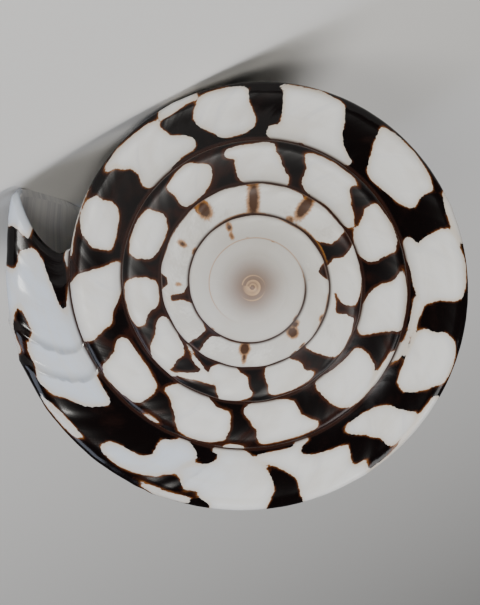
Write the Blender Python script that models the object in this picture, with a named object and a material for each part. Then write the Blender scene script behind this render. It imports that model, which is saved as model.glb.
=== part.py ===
"""Marbled cone shell, lying on its side with the spire towards -Y.

The shell is one coiled tube that widens as it grows, so it is one closed body. A column is
the outline of the tube at one stage of growth, and the columns follow the coil from the apex
to the lip. The tube is hollow from the lip back for most of a turn, and beyond that the inner
turns are left solid.

Inside the functions sizes are in millimetres and growth stages in degrees. The shell's own
frame has its apex at the origin and its axis on Z, with the apex up and the tip down.
"""

import math

import bpy
import numpy as np

# Names
NODE = "cone_shell"

# The coil: the radius of the shoulder grows by about 1.4 times in a turn, draws in slightly
# at the end of it, and flares at the lip
SHOULDER_RADIUS = 15.76
GROWTH = 0.05316
GROWTH_SLOWING = 0.0001975
LIP_STAGE = 370.0
TURNS = 5
TURN = 360.0
NARROWING = 0.018
NARROWING_FROM = 325.0
NARROWING_OVER = 33.0
FLARE_FROM = 358.0
FLARE_OVER = 12.0

# The spire: height of the crests below the apex, and the shape of a whorl as shares of its width
SPIRE_DROP = 5.5
SPIRE_CURVE = 0.85
CREST_IN = 0.20
CREST_DROP = 0.13
SUTURE_DROP = 0.03
RAMP_SAG = 0.03
WORN_RADIUS = 3.4
STEPPED_RADIUS = 5.6

# The flank, from the shoulder to the tip
LENGTH = 70.0
FLANK_SLOPE = 0.3145
SHOULDER_ROUND = 5.0
TIP_RADIUS = 4.2
TIP_GROWTH = 0.18
TIP_FLARE = 0.02
TIP_FROM = 25.0
TIP_TO = 45.0
TIP_BLEND = 1.2
TIP_EDGE = 0.8
TIP_EDGE_IN = 0.25

# The lip, as degrees of growth ahead of the suture: a sinus near the suture, the foremost
# point at the shoulder, and a slow retreat along the flank to the notch at the tip
SINUS_PLACE = 0.17
SINUS_DEPTH = 3.2
LIP_REACH = 9.0
SINUS_POWER = 1.5
FLANK_RETREAT = 45.0
NOTCH_DEPTH = 25.0
NOTCH_FROM = 0.9
LIP_BLEND = 70.0

# The wall and the hollow
LIP_WALL = 0.7
INNER_WALL = 1.5
ROOF_WALL = 1.1
WALL_BLEND = 90.0
HOLLOW_TURN = 300.0
FLOOR_RISE = 0.09

# Lying pose: on the lip, the flank and the tip, with the slit down and the apex raised
PITCH = 14.181
ROLL = 152.132

# Facets
COLUMNS_PER_TURN = 54
RAMP_ROWS = 4
CREST_ROWS = 2
FLANK_ROWS = 20
FLANK_GRADING = 1.25
HOLLOW_COLUMNS = 30
END_ROWS = 3

MILLIMETRE = 0.001


def smooth(share):
    """Ease a share from 0 to 1, with level ends."""
    share = np.clip(share, 0.0, 1.0)
    return share * share * (3.0 - 2.0 * share)


def shoulder_radius(stage):
    """Radius of the shoulder at a growth stage."""
    angle = np.radians(stage)
    radius = SHOULDER_RADIUS * np.exp(GROWTH * angle - GROWTH_SLOWING * angle * angle)
    narrow = smooth((stage - NARROWING_FROM) / NARROWING_OVER)
    flare = smooth((stage - FLARE_FROM) / FLARE_OVER)
    return radius * (1.0 - NARROWING * (narrow - flare))


def whorl_width(stage):
    """Width of the whorl: how far its shoulder stands outside that of the turn before."""
    return shoulder_radius(stage) - shoulder_radius(stage - TURN)


def crest_height(stage):
    """Height of the top of the shoulder, on a slightly hollow cone."""
    return -SPIRE_DROP * (shoulder_radius(stage) / SHOULDER_RADIUS) ** SPIRE_CURVE


def wall_height(stage):
    """Height at which the rounded crest has turned into the flank."""
    return crest_height(stage) - CREST_DROP * whorl_width(stage)


def suture_height(stage):
    """Height at which the next turn is joined to this turn's flank."""
    return wall_height(stage) - SUTURE_DROP * whorl_width(stage)


def flank_radius(stage, height):
    """Radius of the flank: a rounded shoulder, a straight cone and a slim coiled tip."""
    below = np.maximum(wall_height(stage) - height, 0.0)
    rounded = np.sqrt(below * below + SHOULDER_ROUND ** 2) - SHOULDER_ROUND
    cone = shoulder_radius(stage) - FLANK_SLOPE * rounded
    tip = TIP_RADIUS * np.exp(TIP_GROWTH * np.radians(stage - LIP_STAGE - LIP_REACH))
    tip = tip * (1.0 + TIP_FLARE * (height + LENGTH))
    larger = 0.5 * (cone + tip + np.sqrt((cone - tip) ** 2 + TIP_BLEND ** 2))
    near_tip = smooth((-height - TIP_FROM) / (TIP_TO - TIP_FROM))
    radius = cone + near_tip * (larger - cone)
    edge = np.clip((-height - LENGTH + TIP_EDGE) / TIP_EDGE, 0.0, 1.0)
    return radius * (1.0 - TIP_EDGE_IN * edge * edge)


def worn(radius, height):
    """Smooth the steps away near the apex, where the spire is worn."""
    even = -SPIRE_DROP * (radius / SHOULDER_RADIUS) ** SPIRE_CURVE
    step = smooth((radius - WORN_RADIUS) / (STEPPED_RADIUS - WORN_RADIUS))
    return even + step * (height - even)


def lip_lead(across):
    """Degrees by which the lip leads the suture, at a share of the way across the ramp."""
    near = np.clip((SINUS_PLACE - across) / SINUS_PLACE, 0.0, 1.0)
    far = np.clip((across - SINUS_PLACE) / (1.0 - SINUS_PLACE), 0.0, 1.0)
    rise = SINUS_DEPTH * near * near + (SINUS_DEPTH + LIP_REACH) * far ** SINUS_POWER
    return rise - SINUS_DEPTH


def flank_retreat(down, reach):
    """Degrees by which the lip falls back, at a share of the way down the flank."""
    notch = NOTCH_DEPTH * smooth((down - NOTCH_FROM) / (1.0 - NOTCH_FROM))
    return -(FLANK_RETREAT - reach) * down * down - notch


def flank_shares():
    """Shares of the way down the flank at which its rows lie, closer near the shoulder."""
    return np.linspace(0.0, 1.0, FLANK_ROWS + 1) ** FLANK_GRADING


def point(angle, radius, height):
    """Points in the shell's own frame: growth runs clockwise as seen from the apex."""
    angle = np.radians(angle)
    return np.stack((-radius * np.cos(angle), radius * np.sin(angle), height + 0.0 * radius), -1)


def ramp_outline(stage):
    """Angles, radii and heights of the rows from the inner suture to the outer one."""
    stage = stage[:, None]
    width = whorl_width(stage)
    inner_height = suture_height(stage - TURN)
    inner_radius = flank_radius(stage - TURN, inner_height)
    crest_radius = shoulder_radius(stage) - CREST_IN * width

    across = np.linspace(0.0, 1.0, RAMP_ROWS + 1)[None, :]
    radius = inner_radius + (crest_radius - inner_radius) * across
    height = inner_height + (crest_height(stage) - inner_height) * across
    height = height - RAMP_SAG * width * 4.0 * across * (1.0 - across)

    turn = np.linspace(0.0, math.pi / 2, CREST_ROWS + 1)[None, 1:]
    crest_r = crest_radius + CREST_IN * width * np.sin(turn)
    crest_z = crest_height(stage) - CREST_DROP * width * (1.0 - np.cos(turn))

    outer_height = suture_height(stage)
    outer_radius = flank_radius(stage, outer_height)
    radius = np.concatenate((radius, crest_r, outer_radius), 1)
    height = np.concatenate((height, crest_z, outer_height), 1)

    share = (radius - inner_radius) / (shoulder_radius(stage) - inner_radius)
    lead = smooth((stage - LIP_STAGE + LIP_BLEND) / LIP_BLEND)
    angle = stage + lead * lip_lead(np.clip(share, 0.0, 1.0))
    return angle, radius, worn(radius, height)


def flank_outline(stage):
    """Angles, radii and heights of the rows from the suture down to the tip."""
    stage = stage[:, None]
    down = flank_shares()[None, :]
    height = suture_height(stage) + (-LENGTH - suture_height(stage)) * down
    lead = smooth((stage - LIP_STAGE + LIP_BLEND) / LIP_BLEND)
    follow = 1.0 - smooth((stage - LIP_STAGE + TURN) / LIP_BLEND)
    angle = stage + lead * (LIP_REACH + flank_retreat(down, 0.0))
    angle = angle + follow * flank_retreat(down, LIP_REACH)
    return angle, flank_radius(stage, height), height


def hollow_outline(stage):
    """Rows of the hollow: under the ramp and down the outer wall, and down the inner wall."""
    stage = stage[:, None]
    back = LIP_STAGE - stage
    wall = LIP_WALL + (INNER_WALL - LIP_WALL) * smooth(back / WALL_BLEND)
    floor = -LENGTH + FLOOR_RISE * back
    width = whorl_width(stage)
    lead = smooth(1.0 - back / LIP_BLEND)
    down = flank_shares()[None, :]

    inner = stage - TURN
    top = suture_height(inner) + (-LENGTH - suture_height(inner)) * down[:, 1:2]
    share = (down[:, 1:] - down[:, 1:2]) / (1.0 - down[:, 1:2])
    inner_z = top + (floor - top) * share
    inner_r = flank_radius(inner, inner_z)
    inner_a = stage + lead * flank_retreat(down[:, 1:], LIP_REACH)

    corner_r = shoulder_radius(stage) - CREST_IN * width - 0.3 * wall
    roof_z = crest_height(stage) - ROOF_WALL
    across = np.linspace(0.0, 1.0, RAMP_ROWS + 1)[None, :]
    ramp_r = inner_r[:, :1] + (corner_r - inner_r[:, :1]) * across
    ramp_z = top + (roof_z - top) * across - RAMP_SAG * width * 4.0 * across * (1.0 - across)

    turn = np.linspace(0.0, math.pi / 2, CREST_ROWS + 1)[None, 1:]
    side_z = roof_z - CREST_DROP * width
    side_r = flank_radius(stage, side_z) - wall
    crest_r = corner_r + (side_r - corner_r) * np.sin(turn)
    crest_z = roof_z + (side_z - roof_z) * (1.0 - np.cos(turn))

    outer_z = side_z + (floor - side_z) * (0.015 + 0.985 * down)
    outer_r = flank_radius(stage, outer_z) - wall
    outer_a = stage + lead * (LIP_REACH + flank_retreat(down, 0.0))

    radius = np.concatenate((ramp_r, crest_r), 1)
    height = np.concatenate((ramp_z, crest_z), 1)
    share = (radius - inner_r[:, :1]) / (side_r - inner_r[:, :1])
    angle = stage + lead * lip_lead(np.clip(share, 0.0, 1.0))
    angle = np.concatenate((angle, outer_a), 1)
    radius = np.concatenate((radius, outer_r), 1)
    height = np.concatenate((height, outer_z), 1)
    return point(angle, radius, height), point(inner_a, inner_r, inner_z)


class Surface:
    """Collects vertices and faces of the closed body."""

    def __init__(self):
        self.blocks = []
        self.count = 0
        self.faces = []

    def add(self, points):
        """Store a block of points and return their indices in the same layout."""
        points = np.asarray(points, dtype=float)
        rows = points.reshape(-1, 3)
        index = self.count + np.arange(len(rows))
        self.blocks.append(rows)
        self.count += len(rows)
        return index.reshape(points.shape[:-1])

    def skin(self, grid):
        """Cover a grid of indices with four-sided faces."""
        a = grid[:-1, :-1].ravel()
        b = grid[1:, :-1].ravel()
        c = grid[1:, 1:].ravel()
        d = grid[:-1, 1:].ravel()
        self.faces.extend(zip(a.tolist(), b.tolist(), c.tolist(), d.tolist()))

    def fan(self, hub, rim):
        """Cover an open or closed rim with triangles that meet at a hub."""
        rim = [int(item) for item in rim]
        for first, second in zip(rim[:-1], rim[1:]):
            self.faces.append((int(hub), first, second))

    def vertices(self):
        """All the vertices as one array."""
        return np.concatenate(self.blocks, 0)


def shell_surface():
    """Build the whole closed surface in the shell's own frame."""
    surface = Surface()
    step = TURN / COLUMNS_PER_TURN
    columns = TURNS * COLUMNS_PER_TURN
    stages = LIP_STAGE - step * np.arange(columns, -1, -1)
    turn = COLUMNS_PER_TURN

    # Ramps of every whorl; the inner suture of a turn is the outer suture of the turn before
    outline = point(*ramp_outline(stages))
    ramp = np.zeros(outline.shape[:2], dtype=int)
    ramp[:, 1:] = surface.add(outline[:, 1:])
    ramp[:turn, 0] = surface.add(outline[:turn, 0])
    ramp[turn:, 0] = ramp[:-turn, -1]
    surface.skin(ramp)

    # Worn apex, closed by a fan over the first turn of the suture
    apex = surface.add(np.zeros((1, 3)))[0]
    rim = ramp[:turn, 0]
    surface.fan(apex, rim[::-1])
    surface.fan(rim[-1], ramp[0])
    surface.fan(apex, (rim[0], rim[-1]))

    # Flank of the last turn
    outline = point(*flank_outline(stages[-turn - 1:]))
    flank = np.zeros(outline.shape[:2], dtype=int)
    flank[:, 1:] = surface.add(outline[:, 1:])
    flank[:, 0] = ramp[-turn - 1:, -1]
    surface.skin(flank)

    # The hollow, from the lip back
    back = np.linspace(LIP_STAGE, LIP_STAGE - HOLLOW_TURN, HOLLOW_COLUMNS + 1)
    outer_points, inner_points = hollow_outline(back)
    inner = np.zeros(inner_points.shape[:2], dtype=int)
    inner[1:] = surface.add(inner_points[1:])
    inner[0] = flank[0, 1:]
    outer = np.zeros((outer_points.shape[0], outer_points.shape[1]), dtype=int)
    outer[:, 1:] = surface.add(outer_points[:, 1:])
    outer[:, 0] = inner[:, 0]
    surface.skin(outer)
    surface.skin(inner[::-1])
    surface.skin(np.stack((outer[:, -1], inner[:, -1]), 1))

    # Edge of the lip
    edge = np.concatenate((ramp[-1], flank[-1, 1:]))
    inside = outer[0]
    surface.skin(np.stack((edge, inside)))

    # Blind end of the hollow
    skip = len(inside) - len(inner[-1])
    low = END_ROWS
    surface.skin(np.stack((outer[-1, skip + low:], inner[-1, low:])))
    pocket = np.concatenate((outer[-1, :skip + low + 1], inner[-1, low:0:-1], outer[-1, :1]))
    every = surface.vertices()
    hub = surface.add(every[pocket[:-1]].mean(0)[None])[0]
    surface.fan(hub, pocket[::-1])

    # Tip, closed by a fan over the last turn of the flank's lower edge
    rim = flank[:, -1]
    tip = surface.add(np.array([[0.0, 0.0, -LENGTH]]))[0]
    surface.fan(tip, rim[:-1])
    surface.fan(rim[-2], (rim[-1], outer[0, -1], rim[0]))
    surface.fan(tip, (rim[-2], rim[0]))
    return surface


def lie_down(points):
    """Turn the shell's own frame so that it lies on its side, and centre it on the floor."""
    roll = math.radians(ROLL)
    pitch = math.radians(PITCH)
    x = points[:, 0] * math.cos(roll) - points[:, 1] * math.sin(roll)
    y = points[:, 0] * math.sin(roll) + points[:, 1] * math.cos(roll)
    z = points[:, 2]
    lying = np.stack((
        x,
        -z * math.cos(pitch) + y * math.sin(pitch),
        z * math.sin(pitch) + y * math.cos(pitch),
    ), -1)
    low = lying.min(0)
    high = lying.max(0)
    middle = 0.5 * (low + high)
    return lying - np.array([middle[0], middle[1], low[2]])


def shell_material():
    """Porcelain-like white of the shell."""
    material = bpy.data.materials.new("marbled_shell")
    material.use_nodes = True
    shader = material.node_tree.nodes["Principled BSDF"]
    shader.inputs["Base Color"].default_value = (0.55, 0.52, 0.48, 1.0)
    shader.inputs["Roughness"].default_value = 0.28
    shader.inputs["Metallic"].default_value = 0.0
    return material


def build_shell():
    """Make the shell's object."""
    surface = shell_surface()
    points = lie_down(surface.vertices()) * MILLIMETRE
    mesh = bpy.data.meshes.new(NODE)
    mesh.from_pydata(points.tolist(), [], surface.faces)
    mesh.update()
    mesh.shade_smooth()
    mesh.set_sharp_from_angle(angle=math.radians(40.0))
    mesh.materials.append(shell_material())
    shell = bpy.data.objects.new(NODE, mesh)
    bpy.context.scene.collection.objects.link(shell)
    return shell


def main():
    """Clear the scene and build the shell."""
    for item in list(bpy.data.objects):
        bpy.data.objects.remove(item, do_unlink=True)
    build_shell()


main()
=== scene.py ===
"""Looks of the marbled cone shell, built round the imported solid.

The shell's fine surface is one closed mesh, worked out on grids of growth stage and place
across the whorl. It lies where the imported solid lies, and takes its place from the solid's box.
Inside the classes sizes are in millimetres and growth stages in degrees. The shell's own frame
has its apex at the origin and its axis on Z, with the apex up and the tip down.
"""

from __future__ import annotations

import logging
import math
from dataclasses import dataclass, field
from enum import Enum

import bpy
import numpy as np
from mathutils import Matrix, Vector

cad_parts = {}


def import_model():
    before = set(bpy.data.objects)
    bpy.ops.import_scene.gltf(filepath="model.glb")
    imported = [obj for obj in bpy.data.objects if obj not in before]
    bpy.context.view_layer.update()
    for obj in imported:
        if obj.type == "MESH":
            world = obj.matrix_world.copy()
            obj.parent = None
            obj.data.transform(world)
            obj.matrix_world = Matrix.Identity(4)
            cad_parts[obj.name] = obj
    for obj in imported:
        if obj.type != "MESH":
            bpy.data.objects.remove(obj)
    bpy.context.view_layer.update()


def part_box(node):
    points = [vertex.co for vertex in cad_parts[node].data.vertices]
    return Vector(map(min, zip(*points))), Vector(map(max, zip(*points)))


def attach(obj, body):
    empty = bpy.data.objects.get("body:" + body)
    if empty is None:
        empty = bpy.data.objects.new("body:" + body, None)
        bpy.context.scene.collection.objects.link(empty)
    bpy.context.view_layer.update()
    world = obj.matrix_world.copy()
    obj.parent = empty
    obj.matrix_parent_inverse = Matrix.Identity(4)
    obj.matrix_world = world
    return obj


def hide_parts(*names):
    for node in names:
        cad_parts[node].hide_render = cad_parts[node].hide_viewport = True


NODE = "cone_shell"
MILLIMETRE = 0.001
TURN = 360.0

# Millimetres inside the white at which every fringe has ended
PLAIN_WHITE = 1.5

# Painted distances where there is no suture, no covering wall and no apex near
FAR = {"seam_mm": 9.0, "wall_mm": 9.0, "apex": 20.0}

log = logging.getLogger("cone_shell")


class Place(Enum):
    """Parts of the wall that are dressed apart from the outside, which is at 0."""

    CALLUS = 0.6
    INSIDE = 1.0


def smooth(share: np.ndarray) -> np.ndarray:
    """Ease a share from 0 to 1 with level ends, by the cubic 3s^2 - 2s^3."""
    share = np.clip(share, 0.0, 1.0)
    return share * share * (3.0 - 2.0 * share)


def cylinder_point(angle: np.ndarray, radius: np.ndarray, height: np.ndarray) -> np.ndarray:
    """Turn growth angle, radius and height into x, y, z, with growth clockwise from above."""
    angle = np.radians(angle)
    return np.stack((-radius * np.cos(angle), radius * np.sin(angle), height + 0.0 * radius), -1)


@dataclass(frozen=True)
class Coil:
    """Growth law of the shell and the outline of a whorl, as in the solid."""

    first_radius: float = 15.76
    growth: float = 0.05316
    slowing: float = 0.0001975
    narrowing: float = 0.018
    narrowing_from: float = 325.0
    narrowing_over: float = 33.0
    flare_from: float = 358.0
    flare_over: float = 12.0
    lip_stage: float = 370.0
    turns: int = 5
    spire_drop: float = 5.5
    spire_curve: float = 0.85
    crest_in: float = 0.20
    crest_drop: float = 0.13
    suture_drop: float = 0.03
    ramp_sag: float = 0.03
    worn_radius: float = 3.4
    stepped_radius: float = 5.6
    length: float = 70.0
    flank_slope: float = 0.3145
    shoulder_round: float = 5.0
    tip_radius: float = 4.2
    tip_growth: float = 0.18
    tip_flare: float = 0.02
    tip_from: float = 25.0
    tip_to: float = 45.0
    tip_blend: float = 1.2
    tip_edge: float = 0.8
    tip_edge_in: float = 0.25
    lip_reach: float = 9.0

    def radius(self, stage: np.ndarray) -> np.ndarray:
        """Radius of the shoulder: an exponential of the stage whose rate slowly falls.

        Args:
            stage: growth stage in degrees.

        Returns:
            Millimetres, a little less just behind the lip and flared again at its edge.
        """
        angle = np.radians(stage)
        radius = self.first_radius * np.exp(self.growth * angle - self.slowing * angle * angle)
        narrow = smooth((stage - self.narrowing_from) / self.narrowing_over)
        flare = smooth((stage - self.flare_from) / self.flare_over)
        return radius * (1.0 - self.narrowing * (narrow - flare))

    def width(self, stage: np.ndarray) -> np.ndarray:
        """Width of the whorl, from its shoulder to that of the turn before."""
        return self.radius(stage) - self.radius(stage - TURN)

    def crest(self, stage: np.ndarray) -> np.ndarray:
        """Height of the top of the shoulder, a power of its radius."""
        return -self.spire_drop * (self.radius(stage) / self.first_radius) ** self.spire_curve

    def wall(self, stage: np.ndarray) -> np.ndarray:
        """Height at which the rounded crest has turned into the flank."""
        return self.crest(stage) - self.crest_drop * self.width(stage)

    def suture(self, stage: np.ndarray) -> np.ndarray:
        """Height at which the next turn is joined to this turn's flank."""
        return self.wall(stage) - self.suture_drop * self.width(stage)

    def flank(self, stage: np.ndarray, height: np.ndarray) -> np.ndarray:
        """Radius of the flank: a rounded shoulder, a straight cone and a slim coiled tip.

        Args:
            stage: growth stage in degrees.
            height: height below the apex, negative.

        Returns:
            The larger of cone and tip, blended by a hyperbola, and drawn in at the very end.
        """
        below = np.maximum(self.wall(stage) - height, 0.0)
        rounded = np.sqrt(below * below + self.shoulder_round ** 2) - self.shoulder_round
        cone = self.radius(stage) - self.flank_slope * rounded
        turned = np.radians(stage - self.lip_stage - self.lip_reach)
        tip = self.tip_radius * np.exp(self.tip_growth * turned)
        tip = tip * (1.0 + self.tip_flare * (height + self.length))
        larger = 0.5 * (cone + tip + np.sqrt((cone - tip) ** 2 + self.tip_blend ** 2))
        near_tip = smooth((-height - self.tip_from) / (self.tip_to - self.tip_from))
        radius = cone + near_tip * (larger - cone)
        edge = np.clip((-height - self.length + self.tip_edge) / self.tip_edge, 0.0, 1.0)
        return radius * (1.0 - self.tip_edge_in * edge * edge)

    def even_height(self, radius: np.ndarray) -> np.ndarray:
        """Height of the spire at a radius with its steps worn away."""
        return -self.spire_drop * (radius / self.first_radius) ** self.spire_curve

    def worn(self, radius: np.ndarray, height: np.ndarray) -> np.ndarray:
        """Blend the stepped height into the even one near the apex.

        Args:
            radius: distance from the axis.
            height: height with the steps.

        Returns:
            The even height inside the worn radius, and the stepped one past the other radius.
        """
        even = self.even_height(radius)
        span = self.stepped_radius - self.worn_radius
        return even + smooth((radius - self.worn_radius) / span) * (height - even)


@dataclass(frozen=True)
class Lip:
    """Outline of the lip, as degrees of growth ahead of the suture, and the wall behind it."""

    stage: float = 370.0
    sinus_place: float = 0.17
    sinus_depth: float = 3.2
    reach: float = 9.0
    sinus_power: float = 1.5
    retreat: float = 45.0
    notch_depth: float = 25.0
    notch_from: float = 0.9
    blend: float = 70.0
    lip_wall: float = 0.7
    inner_wall: float = 1.5
    roof_wall: float = 1.1
    wall_blend: float = 90.0
    hollow_turn: float = 300.0
    floor_rise: float = 0.09
    roof_inset: float = 0.3
    first_drop: float = 0.015
    edge_bulge: float = 0.35
    callus_reach: float = 12.0
    callus_fade: float = 8.0
    callus_edge: float = 0.6

    def lead(self, across: np.ndarray) -> np.ndarray:
        """Lead across the ramp: back by a parabola to the sinus, then forward by a power.

        Args:
            across: share of the way across the ramp.

        Returns:
            Degrees ahead of the suture, negative in the sinus.
        """
        near = np.clip((self.sinus_place - across) / self.sinus_place, 0.0, 1.0)
        far = np.clip((across - self.sinus_place) / (1.0 - self.sinus_place), 0.0, 1.0)
        rise = self.sinus_depth * near * near
        rise = rise + (self.sinus_depth + self.reach) * far ** self.sinus_power
        return rise - self.sinus_depth

    def fall_back(self, down: np.ndarray, reach: float) -> np.ndarray:
        """Fall back along the flank: a parabola, with an eased notch at the tip."""
        notch = self.notch_depth * smooth((down - self.notch_from) / (1.0 - self.notch_from))
        return -(self.retreat - reach) * down * down - notch

    def weight(self, stage: np.ndarray) -> np.ndarray:
        """How far a column has taken on the outline of the lip, from 0 to 1."""
        return smooth((stage - self.stage + self.blend) / self.blend)

    def follow(self, stage: np.ndarray) -> np.ndarray:
        """How far a column at the start of the last turn follows the inner side of the slit."""
        return 1.0 - smooth((stage - self.stage + TURN) / self.blend)


@dataclass(frozen=True)
class Detail:
    """Numbers of grid rows and columns."""

    columns: int
    ramp_rows: int
    crest_rows: int
    flank_rows: int
    corner_rows: int
    hollow_columns: int
    apex_rings: int
    flank_grading: float = 1.25

    def down(self) -> np.ndarray:
        """Shares of the way down the flank at which its rows lie, closer at the shoulder."""
        return np.linspace(0.0, 1.0, self.flank_rows + 1) ** self.flank_grading


SOLID_DETAIL = Detail(columns=54, ramp_rows=4, crest_rows=2, flank_rows=20, corner_rows=1,
                      hollow_columns=30, apex_rings=0)
FINE_DETAIL = Detail(columns=360, ramp_rows=16, crest_rows=6, flank_rows=88, corner_rows=3,
                     hollow_columns=50, apex_rings=14)


@dataclass(frozen=True)
class Apex:
    """The worn dome in the middle, with the shallow spiral of the first tiny turns."""

    dome_height: float = 0.09
    dome_radius: float = 0.9
    step_power: int = 6
    groove_depth: float = 0.03
    groove_width: float = 0.07
    spiral_radius: float = 1.15
    spiral_ratio: float = 0.56
    spiral_turns: int = 5
    spiral_end: float = 1.02


@dataclass(frozen=True)
class Relief:
    """Low relief of growth on the outer surface, and the shadow painted beside its halts."""

    halts: tuple[tuple[float, float], ...] = (
        (286.0, 0.09), (290.5, 0.05), (303.0, 0.04), (319.0, 0.06), (331.6, 0.22), (340.7, 0.22),
        (353.0, 0.05), (361.0, 0.04), (150.0, 0.05), (57.0, 0.04), (232.0, 0.05),
    )
    halt_run: float = 7.0
    halt_drop: float = 2.4
    shade_run: float = 1.6
    shade_ahead: float = 0.5
    shade_rise: float = 0.16
    line_octaves: int = 4
    line_spacing: float = 1.7
    line_closer: float = 0.71
    line_depth: float = 0.004
    line_fainter: float = 0.6
    line_bend: float = 1.4
    line_drift: float = 2.0
    drift_run: float = 9.0
    lump_height: float = 0.06
    lumps_per_turn: float = 17.0
    lump_place: float = 0.86
    lump_width: float = 0.16
    lump_wander: float = 0.8
    lumps_last: float = -330.0
    lumps_first: float = -1400.0
    flank_unit: float = 6.0
    shoulder_fade: float = 1.0
    tip_clear: float = 8.0
    tip_fade: float = 6.0
    slit_fade: float = 6.0
    seed: int = 11

    def shade(self, growth: np.ndarray) -> np.ndarray:
        """Painted shadow on the younger side of a halt: an exponential of the growth past it.

        Args:
            growth: growth stage in degrees.

        Returns:
            Shares from 0, with 1 at a halt of the full rise.
        """
        total = 0.0 * growth
        for place, rise in self.halts:
            past = growth - place
            fresh = np.exp(-np.maximum(past, 0.0) / self.shade_run)
            begun = smooth(past / self.shade_ahead + 1.0)
            total = np.maximum(total, begun * fresh * rise / self.shade_rise)
        return total

    def height(self, growth: np.ndarray, across: np.ndarray, arc: np.ndarray) -> np.ndarray:
        """Height of the relief.

        A halt in growth is a low scarp: the surface swells as the square of the growth up to
        it and falls off within a few degrees. Growth lines are sines of the arc with wandering
        phase. Lumps are a cosine round the turn on the crests of the older whorls.

        Args:
            growth: growth stage in degrees.
            across: share of the way across the ramp, 1 and more on the flank.
            arc: distance grown in millimetres.

        Returns:
            Heights in millimetres, outwards.
        """
        total = np.zeros(np.broadcast(growth, across).shape)
        for place, rise in self.halts:
            before = np.clip((growth - place + self.halt_run) / self.halt_run, 0.0, 1.0)
            after = smooth((place + self.halt_drop - growth) / self.halt_drop)
            total = total + rise * before ** 2 * after
        rng = np.random.default_rng(self.seed)
        for octave in range(self.line_octaves):
            spacing = self.line_spacing * self.line_closer ** octave * rng.uniform(0.9, 1.1)
            phase = rng.uniform(0.0, math.tau)
            phase = phase + self.line_bend * np.sin(across * 2.1 + rng.uniform(0.0, 6.0))
            run = self.drift_run + 4.0 * octave
            drift = self.line_drift * np.sin(arc / run + rng.uniform(0.0, 6.0))
            wave = np.sin(math.tau * arc / spacing + phase + drift)
            total = total + self.line_depth * self.line_fainter ** octave * wave
        old = smooth((self.lumps_last - growth) / 120.0)
        old = old * smooth((growth - self.lumps_first) / 260.0)
        ridge = np.exp(-((across - self.lump_place) / self.lump_width) ** 2)
        wander = self.lump_wander * np.sin(np.radians(growth) * 1.7)
        lumps = np.cos(np.radians(growth) * self.lumps_per_turn + wander)
        return total + self.lump_height * old * ridge * lumps

    def flank_share(self, depth: np.ndarray, past: np.ndarray, length: float) -> np.ndarray:
        """Share of the relief kept on the flank: none at the shoulder, the tip and the slit.

        Args:
            depth: millimetres below the shoulder.
            past: degrees past the start of the last turn.
            length: length of the shell in millimetres.

        Returns:
            Shares from 0 to 1.
        """
        share = smooth(depth / self.shoulder_fade)
        share = share * smooth((length - self.tip_clear - depth) / self.tip_fade)
        return share * smooth(past / self.slit_fade)


@dataclass(frozen=True)
class Blotch:
    """A white or dark patch, as a few corners in growth stage and place across the whorl."""

    corners: tuple[tuple[float, float], ...]

    def reach(self, stage: np.ndarray, place: np.ndarray, radius: np.ndarray,
              width: np.ndarray) -> np.ndarray:
        """Signed distance to the patch's edge in millimetres, positive inside.

        The corners are laid out by the radius and width at each point itself. The distance is
        the least over the sides, and its sign comes from counting the sides crossed.

        Args:
            stage: growth stage of the points.
            place: place of the points across the whorl.
            radius: radius of the points, which turns stage into arc.
            width: millimetres in one unit of place.

        Returns:
            The signed distance at each point.
        """
        corners = np.array(self.corners)
        scale_x = np.radians(1.0) * radius[..., None]
        scale_y = width[..., None]
        ax = corners[:, 0] * scale_x
        ay = corners[:, 1] * scale_y
        bx = np.roll(ax, -1, -1)
        by = np.roll(ay, -1, -1)
        px = stage[..., None] * scale_x
        py = place[..., None] * scale_y
        ex, ey = bx - ax, by - ay
        along = ((px - ax) * ex + (py - ay) * ey) / (ex * ex + ey * ey + 1e-12)
        along = np.clip(along, 0.0, 1.0)
        gap = np.hypot(px - ax - along * ex, py - ay - along * ey).min(-1)
        level = np.where(np.abs(ey) < 1e-9, 1e-9, ey)
        crossed = ((ay > py) != (by > py)) & (px < ax + (py - ay) / level * ex)
        return np.where(crossed.sum(-1) % 2 == 1, gap, -gap)

    def span(self) -> tuple[float, float]:
        """First and last growth stage of the patch."""
        stages = [corner[0] for corner in self.corners]
        return min(stages), max(stages)


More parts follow.
